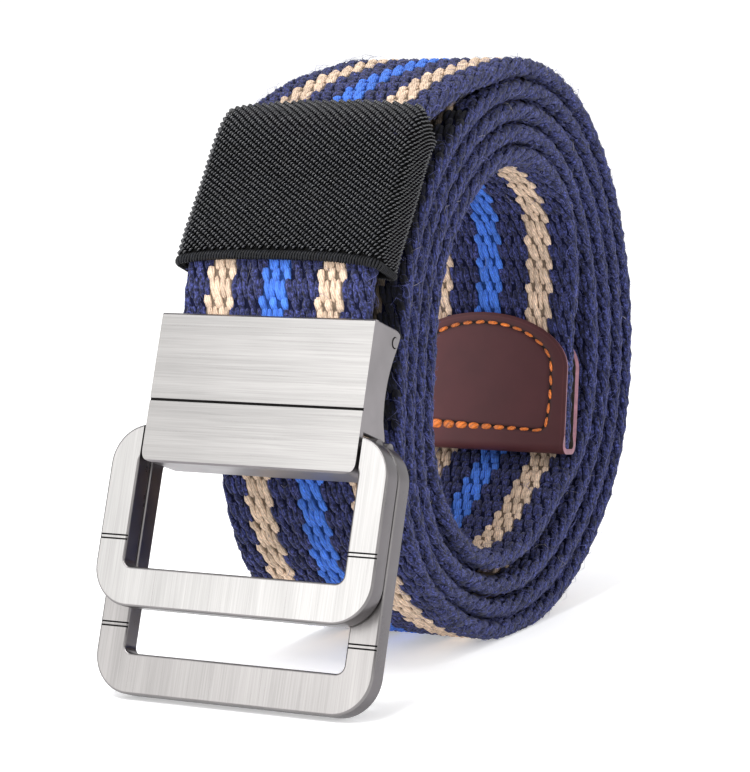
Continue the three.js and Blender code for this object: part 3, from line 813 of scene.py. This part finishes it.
class BELT_OT_elastic(bpy.types.Operator):
    """Cover the black elastic loop with its twill and hem"""

    bl_idname = "belt.elastic"
    bl_label = "Elastic loop"

    def execute(self, context):
        settings = context.scene.canvas_belt.elastic
        line = BeltLine()
        low = line.length - settings.above_end
        high = low - settings.height

        def rims(x):
            beside = np.abs(x / settings.half_width) ** 3
            return high + settings.top_sag * beside, low + settings.hem_sag * beside

        covered = yarn_material("covered_rubber_yarn", 0.24, 0.02, 0.2, 0.8, 1.3, 0.1, 0.9)
        skin, lining = self.section(settings, 0.35), self.section(settings, 0.35 + settings.wall / MM)

        def ground_rims(x):
            top, bottom = rims(x)
            return top + 0.3 * MM, bottom - 0.3 * MM

        ground = sleeve("elastic_ground", line, skin, lining, ground_rims)
        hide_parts("elastic_loop")
        # Painted shade: the ground under the twill is darker than its yarns, for the shade in the pits between
        # them.
        dressed(ground, "belt", "black_elastic", ground_material("elastic_ground", (0.003,) * 3))
        dressed(self.twill(settings, line, rims), "belt", "black_elastic", covered)
        matt = yarn_material("hem_loop_yarn", 0.5, 0.02, 0.4, 0.6, 1.3, 0.3, 0.3)
        dressed(self.rim(settings, line, rims), "belt", "black_elastic", matt)
        return {"FINISHED"}

    def section(self, settings, inset):
        """The loop's outline drawn in by inset, in mm."""
        return Section(
            settings.half_width - inset * MM,
            settings.front - inset * MM,
            settings.back - inset * MM,
            settings.corner - 0.5 * inset * MM,
        )

    def twill(self, settings, line, rims):
        """Short slanting floats in diagonal ribs all over the loop."""
        section = self.section(settings, 0)
        columns = int(section.round / settings.column_pitch / 3) * 3
        pitch = section.round / columns
        rows = int((settings.height + settings.hem_sag) / settings.row_pitch) + 2
        column, row = np.meshgrid(np.arange(columns), np.arange(-1, rows), indexing="ij")
        column, row = column.ravel(), row.ravel()
        high, low = rims(section.at(column * pitch, 0)[0])
        top = rims(0)[0]
        fall = np.mod(column, 3) * settings.row_pitch / 3
        s = top + 0.5 * MM + row * settings.row_pitch + fall
        keep = (s > high + 0.3 * MM) & (s < low - settings.hem - 0.15 * MM)
        column, s = column[keep], s[keep]
        number = len(s)
        yarns = {
            "s": s + DICE.normal(0, 0.025 * MM, number),
            "q": column * pitch + DICE.normal(0, 0.02 * MM, number),
            "length": settings.row_pitch * DICE.normal(0.66, 0.03, number),
            "width": pitch * DICE.normal(0.84, 0.04, number),
            "thickness": np.full(number, 0.8 * MM),
            "rise": np.full(number, 0.05 * MM),
            "drop": np.full(number, 0.3 * MM),
            "slant": np.full(number, -math.radians(38)) + DICE.normal(0, 0.05, number),
            "colour": np.array(settings.black)[None] * DICE.uniform(0.7, 1.4, (number, 1)),
        }
        return laid("elastic_twill", line, section, grain(6, 4, 2.6), yarns)

    def rim(self, settings, line, rims):
        """The fine loops sewn over the lower rim."""
        section = self.section(settings, -0.05)
        number = int(section.round / settings.hem_pitch)
        q = np.arange(number) * section.round / number
        low = rims(section.at(q, 0)[0])[1]
        yarns = {
            "s": low - settings.hem / 2,
            "q": q,
            "length": np.full(number, settings.hem * 1.1),
            "width": np.full(number, settings.hem_pitch * 0.9),
            "thickness": np.full(number, 0.8 * MM),
            "rise": np.full(number, 0.05 * MM),
            "drop": np.full(number, 0.4 * MM),
            "slant": np.full(number, -math.radians(14)) + DICE.normal(0, 0.05, number),
            "colour": np.array(settings.black)[None] * DICE.uniform(0.3, 1.1, (number, 1)),
        }
        return laid("elastic_hem", line, section, grain(8, 6, 2.6), yarns)


# Leather tip


class TipFrame:
    """The plane of the leather tip: places across, through and up it."""

    def __init__(self, line, settings):
        end = line.at(line.line, np.array([0.0]))[0]
        ahead = line.at(line.line, np.array([settings.height + settings.fold_below]))[0] - end
        self.end = end
        self.up = ahead / np.linalg.norm(ahead)
        self.back = np.array([self.up[1], -self.up[0]])

    def places(self, x, through, up):
        flat = self.end + self.up * up[..., None] + self.back * through[..., None]
        return np.stack([x, flat[..., 0], flat[..., 1]], -1)


def arc_top(settings, x):
    """Height of the tip's rounded end at x."""
    beside = np.clip(np.abs(x) / settings.half_width, 0, 1)
    return settings.height - settings.arc_rise * (1 - np.sqrt(1 - beside**2))


def edge_gap(settings, x, up):
    """Distance of a place on a leaf from the leaf's side or rounded end."""
    wide, rise = settings.half_width, settings.arc_rise
    over = np.maximum(up - (settings.height - rise), 0)
    share = np.sqrt((x / wide) ** 2 + (over / rise) ** 2)
    slope = np.maximum(np.sqrt(x**2 / wide**4 + over**2 / rise**4), 1e-6)
    return np.where(over > 0, (1 - share) * share / slope, wide - np.abs(x))


def seam_line(settings):
    """The closed seam on a leaf of the tip, as points across and up it."""
    side = settings.half_width - settings.side_inset
    low = settings.seam_above_fold - settings.fold_below
    shoulder = settings.height - settings.arc_rise
    corner, bow, narrowing, tilt = 2.2 * MM, 0.3 * MM, 0.5 * MM, 1.3 * MM
    turn = np.linspace(-math.pi / 2, math.pi / 2, 90)
    rise = settings.arc_rise - settings.stitch_inset
    arc = np.stack([side * np.sin(turn), shoulder + rise * np.cos(turn)], 1)
    fall = np.linspace(0, 1, 16)[1:]
    right_x = side + bow * np.sin(math.pi * fall) - narrowing * fall
    right = np.stack([right_x, shoulder + (low + corner - shoulder) * fall], 1)
    bend = np.linspace(0, math.pi / 2, 8)[1:]
    low_x = side - narrowing - corner + corner * np.cos(bend)
    right_low = np.stack([low_x, low + corner - corner * np.sin(bend)], 1)
    half = np.concatenate([right, right_low])
    seam = np.concatenate([arc, half, half[::-1] * [-1, 1], arc[:1]])
    near_low = np.clip((shoulder - seam[:, 1]) / (shoulder - low), 0, 1)
    seam[:, 1] += tilt * near_low * (0.5 - seam[:, 0] / (2 * side))
    return seam


def along_line(points, pitch):
    """Evenly spaced places and headings along a line of points."""
    steps = np.linalg.norm(np.diff(points, axis=0), axis=1)
    along = np.concatenate([[0], np.cumsum(steps)])
    count = round(along[-1] / pitch)
    at = (np.arange(count) + 0.5) * along[-1] / count
    here = np.stack([np.interp(at, along, points[:, k]) for k in (0, 1)], 1)
    ahead = np.stack([np.interp(at + 0.2 * MM, along, points[:, k]) for k in (0, 1)], 1)
    return here, np.arctan2(ahead[:, 1] - here[:, 1], ahead[:, 0] - here[:, 0])


def distance_to(points, seam):
    """Distance of each point from the nearest part of a line."""
    starts, ends = seam[:-1], seam[1:]
    span = ends - starts
    size = np.maximum(np.sum(span**2, 1), 1e-12)
    best = np.full(len(points), 1.0)
    for start, step, square in zip(starts, span, size):
        t = np.clip(((points - start) @ step) / square, 0, 1)
        best = np.minimum(best, np.linalg.norm(points - start - t[:, None] * step, axis=1))
    return best


class BELT_OT_leather(bpy.types.Operator):
    """Fold the leather tip round the belt's free end, with its pressed seam and painted edges"""

    bl_idname = "belt.leather"
    bl_label = "Leather tip"

    def execute(self, context):
        settings = context.scene.canvas_belt.leather
        tip = TipFrame(BeltLine(), settings)
        wall = settings.thickness
        middle = settings.half_depth - wall / 2
        bend = settings.fold_corner - wall / 2
        flat = middle - bend
        fold = flat + bend * math.pi / 2
        bottom = -settings.fold_below + wall / 2
        across, leaf, turn = 124, 68, 14
        deselect()
        rows = 2 * leaf + 2 * turn
        bpy.ops.mesh.primitive_grid_add(x_subdivisions=across, y_subdivisions=rows, size=2)
        obj = bpy.context.object
        obj.name = obj.data.name = "leather_tip_folded"
        mesh = obj.data
        flat_places = np.empty(len(mesh.vertices) * 3)
        mesh.vertices.foreach_get("co", flat_places)
        u, v = flat_places.reshape(-1, 3)[:, :2].T
        x = np.sin(u * math.pi / 2) * settings.half_width
        step = np.abs(v) * (leaf + turn)
        leg = np.clip((step - turn) / leaf, 0, 1)
        top = arc_top(settings, x) - (bottom + bend)
        t = np.where(step <= turn, step / turn * fold, fold + leg * top)
        side = np.sign(v)
        angle = np.clip((t - flat) / bend, 0, math.pi / 2)
        through = np.minimum(t, flat) + bend * np.sin(angle)
        up = bottom + bend * (1 - np.cos(angle)) + np.maximum(t - fold, 0)
        seam = seam_line(settings)
        gap = distance_to(np.stack([x, up], 1), seam)
        press = settings.furrow * np.exp(-((gap / (0.42 * MM)) ** 2))
        rim = edge_gap(settings, x, up)
        thin = 0.16 * MM * np.exp(-np.maximum(rim, 0) / (0.55 * MM))
        straight = np.clip((t - fold) / (2 * MM), 0, 1)
        through = through - (press + thin) * straight
        solid = tip.places(x, side * through, up)
        mesh.vertices.foreach_set("co", solid.astype(np.float32).ravel())
        for name, values in (("seam_gap", gap), ("rim_gap", rim)):
            layer = mesh.attributes.new(name, "FLOAT", "POINT")
            layer.data.foreach_set("value", (values / MM).astype(np.float32))
        mesh_faces_outward(obj)
        outward = Vector((0, *tip.back))
        sample = min(mesh.polygons, key=lambda p: (p.center - Vector(tip.places(
            np.array([0.0]), np.array([middle]), np.array([15 * MM]))[0])).length)
        if sample.normal.dot(outward) < 0:
            take_up(obj)
            bpy.ops.object.mode_set(mode="EDIT")
            bpy.ops.mesh.select_all(action="SELECT")
            bpy.ops.mesh.flip_normals()
            bpy.ops.object.mode_set(mode="OBJECT")
        for material in self.materials(settings):
            mesh.materials.append(material)
        thick = obj.modifiers.new("wall", "SOLIDIFY")
        thick.thickness = wall
        thick.offset = 0
        thick.material_offset_rim = 1
        thick.material_offset = 2
        soften = obj.modifiers.new("rim", "BEVEL")
        soften.width = 0.16 * MM
        soften.segments = 2
        soften.limit_method = "ANGLE"
        soften.angle_limit = math.radians(50)
        take_up(obj)
        for modifier in list(obj.modifiers):
            bpy.ops.object.modifier_apply(modifier=modifier.name)
        bpy.ops.object.shade_smooth_by_angle(angle=math.radians(40))
        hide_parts("leather_tip")
        dressed(obj, "belt", "brown_leather")
        return {"FINISHED"}

    def materials(self, settings):
        n = Nodes("brown_leather")
        seam = n.add("Attribute", attribute_name="seam_gap").outputs["Fac"]
        rim = n.add("Attribute", attribute_name="rim_gap").outputs["Fac"]
        place = n.add("TexCoord").outputs["Object"]
        pores = n.add("TexVoronoi", {"Vector": place, "Scale": 1500.0}).outputs["Distance"]
        cloud = n.add("TexNoise", {"Vector": place, "Scale": 70.0, "Detail": 3.0}).outputs["Fac"]
        tone = n.times(tuple(settings.brown), n.ramp(cloud, (0.3, 0.82), (0.7, 1.15)))
        # Painted shade: near-black in the pressed furrow along the seam.
        tone = n.times(tone, n.ramp(seam, (0.3, 0.07), (0.52, 0.75), (0.95, 1.0)))
        tone = n.times(tone, n.ramp(rim, (0.0, 1.2), (0.3, 0.9), (0.55, 1.0), (0.68, 1.3), (0.85, 1.0)))
        # Painted light: the grain side is lighter at the left and darker at the right.
        across = n.add("SeparateXYZ", {"Vector": place}).outputs["X"]
        span = {"From Min": -19 * MM, "From Max": 19 * MM, "To Min": 1.35, "To Max": 0.62}
        tone = n.times(tone, n.add("MapRange", {"Value": across, **span}).outputs[0])
        n.set("Base Color", tone)
        n.set("Roughness", n.ramp(cloud, (0.3, 0.4), (0.7, 0.52)))
        n.set("Specular IOR Level", 0.2)
        n.set("Normal", n.bump(pores, 0.14, 0.05 * MM))
        paint = Nodes("painted_leather_edge")
        rough = paint.add(
            "TexNoise", {"Vector": object_place(paint), "Scale": 900.0, "Detail": 3.0}
        ).outputs["Fac"]
        paint.set(
            "Base Color", paint.times(tuple(settings.edge), paint.ramp(rough, (0.3, 0.75), (0.7, 1.2)))
        )
        paint.set("Roughness", 0.5)
        paint.set("Normal", paint.bump(rough, 0.4, 0.08 * MM))
        flesh = ground_material("leather_flesh_side", (0.05, 0.043, 0.034))
        return n.material, paint.material, flesh


class BELT_OT_stitches(bpy.types.Operator):
    """Sew the orange thread round both leaves of the leather tip"""

    bl_idname = "belt.stitches"
    bl_label = "Stitches"

    def execute(self, context):
        settings = context.scene.canvas_belt.leather
        tip = TipFrame(BeltLine(), settings)
        places, faces = grain(8, 8, 2.4)
        here, heading = along_line(seam_line(settings), settings.stitch_pitch)
        low = here[:, 1] < settings.seam_above_fold - settings.fold_below + 2.2 * MM
        low &= np.abs(np.cos(heading)) > 0.8
        left = np.clip((settings.half_width * 0.55 - here[:, 0]) / (1.3 * settings.half_width), 0, 1)
        tall = 1 + np.where(low, 2.7, 0.4) * left
        a, b, c = (places[None, :, k] for k in range(3))
        solids = []
        for side in (-1, 1):
            spread = tall if side < 0 else np.ones_like(tall)
            lean = DICE.normal(0.06, 0.05, len(here))
            turn = (heading + lean)[:, None]
            size = (settings.stitch_length * DICE.normal(1, 0.04, len(here)) * (1 + 0.08 * (tall - 1)))[:, None]
            along = a * size
            width = b * settings.thread * spread[:, None] + (spread[:, None] - 1) * 0.28 * MM
            x = here[:, :1] + along * np.cos(turn) - width * np.sin(turn)
            up = here[:, 1:] + along * np.sin(turn) + width * np.cos(turn)
            dome = 0.9 + 0.25 * (spread[:, None] - 1)
            out = settings.half_depth - 0.1 * MM + c * settings.thread * dome
            out = out - 0.25 * MM * (2 * a) ** 4
            solids.append(tip.places(x, side * out, up))
        mark = np.stack([b * settings.thread / MM + 0 * here[:, :1], a * 2.3 + here[:, :1] * 900], -1)
        tint = np.array(settings.orange)[None, None] * DICE.uniform(0.8, 1.2, (len(here), 1, 1))
        # Painted shade: each stitch darkens towards its ends, where the thread dives into the leather.
        tint = tint * (1 - 0.5 * np.abs(2 * a) ** 4)[..., None]
        both = np.concatenate(solids)
        obj = piece_from(
            "leather_stitches", both, faces, np.concatenate([tint] * 2), np.concatenate([mark] * 2)
        )
        mesh_faces_outward(obj)
        thread = yarn_material("sewing_thread", 0.36, 0.05, 0.9, 0.75, 1.25, 0.1, 0.55)
        dressed(obj, "belt", "brown_leather", thread)
        return {"FINISHED"}


# Metal


def face_normal():
    """The direction that the buckle's front faces look in."""
    return Vector((0, -math.cos(BUCKLE_LEAN), math.sin(BUCKLE_LEAN)))


def metal_copy(node, name, edge):
    obj = copy_of(node, name)
    if edge:
        soften = obj.modifiers.new("edges", "BEVEL")
        soften.width = edge
        soften.segments = 2
        soften.limit_method = "ANGLE"
        soften.angle_limit = math.radians(40)
        bpy.ops.object.modifier_apply(modifier="edges")
    bpy.ops.object.shade_smooth_by_angle(angle=math.radians(38))
    keep_flat = obj.modifiers.new("flat_faces", "WEIGHTED_NORMAL")
    keep_flat.keep_sharp = True
    bpy.ops.object.modifier_apply(modifier="flat_faces")
    return obj


def paint_faces(obj, choose):
    """Give each face the material number that choose returns for its centre and normal."""
    for face in obj.data.polygons:
        face.material_index = choose(face.center, face.normal)


def down_the_face(place, top):
    """Distance down the leaned face from its top edge, and depth behind it."""
    gap = place - top
    lean = BUCKLE_LEAN
    down = -gap.y * math.sin(lean) - gap.z * math.cos(lean)
    deep = gap.y * math.cos(lean) - gap.z * math.sin(lean)
    return down, deep


def face_top():
    """The middle of the top edge of the housing's front face."""
    low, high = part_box("buckle_housing")
    normal = face_normal()
    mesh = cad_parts["buckle_housing"].data
    front = max(v.co.dot(normal) for v in mesh.vertices)
    on_face = [v.co for v in mesh.vertices if v.co.dot(normal) > front - 0.4 * MM]
    down = Vector((0, -math.sin(BUCKLE_LEAN), -math.cos(BUCKLE_LEAN)))
    highest = min(co.dot(down) for co in on_face)
    return normal * front + down * highest


class BELT_OT_housing(bpy.types.Operator):
    """Brush the housing's plate and darken its sides and groove"""

    bl_idname = "belt.housing"
    bl_label = "Buckle housing"

    def execute(self, context):
        settings = context.scene.canvas_belt.metal
        obj = metal_copy("buckle_housing", "housing_brushed", settings.edge)
        top, normal = face_top(), face_normal()

        def choose(centre, direction):
            deep = down_the_face(centre, top)[1]
            if direction.dot(normal) < 0.9 or deep > 1 * MM:
                return 1
            return 2 if deep > 0.2 * MM else 0

        paint_faces(obj, choose)
        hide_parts("buckle_housing")
        dressed(
            obj,
            "belt",
            "housing_metal",
            brushed_material(
                "brushed_nickel_plate", settings.plate, 0.13, settings.streak, BUCKLE_LEAN, 0
            ),
            satin_material("satin_nickel_sides", settings.side, 0.34),
            satin_material("dark_groove", settings.line, 0.6),
        )
        return {"FINISHED"}


class BELT_OT_rings(bpy.types.Operator):
    """Brush the faces of both rings, and give them dark sides and engraved lines"""

    bl_idname = "belt.rings"
    bl_label = "Rings"

    def execute(self, context):
        settings = context.scene.canvas_belt.metal
        normal = face_normal()
        for node, tone in (("front_ring", settings.front), ("back_ring", settings.rear)):
            body = node + "_body"
            obj = metal_copy(node, node + "_brushed", 0)
            deepest = max(v.co.dot(normal) for v in obj.data.vertices)

            def choose(centre, direction, front=deepest):
                behind = front - centre.dot(normal)
                facing = direction.dot(normal)
                if facing > 0.99:
                    return 2 if 0.15 * MM < behind < 0.32 * MM else 0
                return 3 if facing > 0.3 else 1

            paint_faces(obj, choose)
            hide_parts(node)
            dressed(
                obj,
                body,
                node + "_metal",
                brushed_material(
                    node + "_brushed", tone, 0.09, settings.streak, BUCKLE_LEAN, 1
                ),
                satin_material(node + "_sides", settings.dark, 0.26),
                satin_material(node + "_lines", settings.line, 0.6),
                satin_material(node + "_bevel", settings.bevel, 0.3),
            )
        return {"FINISHED"}


class BELT_OT_clamp(bpy.types.Operator):
    """Finish the pin and the jaw that holds the webbing in the housing"""

    bl_idname = "belt.clamp"
    bl_label = "Clamp"

    def execute(self, context):
        settings = context.scene.canvas_belt.metal
        finishes = {
            "clamp_pin": satin_material("pin_steel", settings.side, 0.3),
            "clamp_jaw": brushed_material(
                "jaw_steel", settings.side, 0, settings.streak, BUCKLE_LEAN, 0
            ),
        }
        for node, material in finishes.items():
            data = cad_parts[node].data
            data.materials.clear()
            data.materials.append(material)
        return {"FINISHED"}


# Stage


class BELT_OT_stage(bpy.types.Operator):
    """Set the pale floor, the soft light and the camera"""

    bl_idname = "belt.stage"
    bl_label = "Stage"

    def execute(self, context):
        settings = context.scene.canvas_belt.stage
        scene = context.scene
        scene.view_settings.view_transform = "Standard"
        deselect()
        bpy.ops.mesh.primitive_plane_add(size=settings.floor_size)
        floor = context.object
        floor.name = "floor"
        n = Nodes("pale_floor")
        n.set("Base Color", (0.9, 0.9, 0.905, 1))
        n.set("Roughness", 0.75)
        n.set("Specular IOR Level", 0.2)
        n.set("Emission Color", (1, 1, 1, 1))
        n.set("Emission Strength", 0.38)
        floor.data.materials.append(n.material)
        self.surround(scene, settings.surround)
        self.softbox("key_from_above", (-0.05, -0.7, 1.1), 0.45, 10)
        self.softbox("front_from_left", (-0.6, -1.15, 0.55), 1.4, 8.6)
        self.softbox("fill_from_right", (1.1, -0.5, 0.35), 0.6, 2)
        self.camera(scene, settings)
        return {"FINISHED"}

    def surround(self, scene, brightness):
        world = bpy.data.worlds.new("white_surround")
        scene.world = world
        world.use_nodes = True
        tree = world.node_tree
        direction = tree.nodes.new("ShaderNodeTexCoord").outputs["Generated"]
        height = tree.nodes.new("ShaderNodeSeparateXYZ")
        fade = tree.nodes.new("ShaderNodeMapRange")
        for key, value in (("From Min", 0.06), ("From Max", 0.3), ("To Min", 1.1)):
            fade.inputs[key].default_value = value
        fade.inputs["To Max"].default_value = brightness
        tree.links.new(direction, height.inputs["Vector"])
        tree.links.new(height.outputs["Z"], fade.inputs["Value"])
        sky = tree.nodes["Background"]
        sky.inputs["Color"].default_value = (1, 1, 1, 1)
        tree.links.new(fade.outputs["Result"], sky.inputs["Strength"])

    def softbox(self, name, place, size, power):
        light = bpy.data.lights.new(name, "AREA")
        light.shape = "SQUARE"
        light.size = size
        light.energy = power
        obj = bpy.data.objects.new(name, light)
        bpy.context.scene.collection.objects.link(obj)
        obj.location = place
        aim = Vector((0, 0, 0.05)) - Vector(place)
        obj.rotation_mode = "QUATERNION"
        obj.rotation_quaternion = aim.to_track_quat("-Z", "Y")

    def camera(self, scene, settings):
        a, e, r = settings.azimuth, settings.elevation, settings.roll
        ahead = Vector((-math.sin(a) * math.cos(e), math.cos(a) * math.cos(e), -math.sin(e)))
        level = Vector((math.cos(a), math.sin(a), 0))
        up = level.cross(ahead)
        right = math.cos(r) * level + math.sin(r) * up
        up = math.cos(r) * up - math.sin(r) * level
        camera = bpy.data.objects.new("camera", bpy.data.cameras.new("camera"))
        scene.collection.objects.link(camera)
        turn = Matrix((right, up, -ahead)).transposed()
        place = Vector((settings.camera_right, -settings.camera_front, settings.camera_height))
        camera.matrix_world = Matrix.Translation(place) @ turn.to_4x4()
        camera.data.sensor_width = 36
        camera.data.lens = settings.lens
        camera.data.clip_start = 0.01
        scene.camera = camera


STEPS = (
    BELT_OT_stage,
    BELT_OT_webbing,
    BELT_OT_hairs,
    BELT_OT_elastic,
    BELT_OT_leather,
    BELT_OT_stitches,
    BELT_OT_housing,
    BELT_OT_rings,
    BELT_OT_clamp,
)


class BELT_PT_panel(bpy.types.Panel):
    """Sizes, colours and steps of the canvas belt"""

    bl_idname = "BELT_PT_panel"
    bl_label = "Canvas belt"
    bl_space_type = "VIEW_3D"
    bl_region_type = "UI"
    bl_category = "Canvas belt"

    def draw(self, context):
        belt = context.scene.canvas_belt
        for step in STEPS:
            self.layout.operator(step.bl_idname)
        for part in ("webbing", "elastic", "leather", "metal", "stage"):
            group = getattr(belt, part)
            box = self.layout.box()
            box.label(text=part.capitalize())
            for key in group.bl_rna.properties.keys():
                if key not in ("name", "rna_type"):
                    box.prop(group, key)


CLASSES = (
    WebbingSettings,
    ElasticSettings,
    LeatherSettings,
    MetalSettings,
    StageSettings,
    BeltSettings,
    *STEPS,
    BELT_PT_panel,
)


def register():
    for each in CLASSES:
        bpy.utils.register_class(each)
    bpy.types.Scene.canvas_belt = bpy.props.PointerProperty(type=BeltSettings)


def unregister():
    del bpy.types.Scene.canvas_belt
    for each in reversed(CLASSES):
        bpy.utils.unregister_class(each)


def main():
    register()
    for step in STEPS:
        area, name = step.bl_idname.split(".")
        getattr(getattr(bpy.ops, area), name)()


if __name__ == "__main__":
    main()
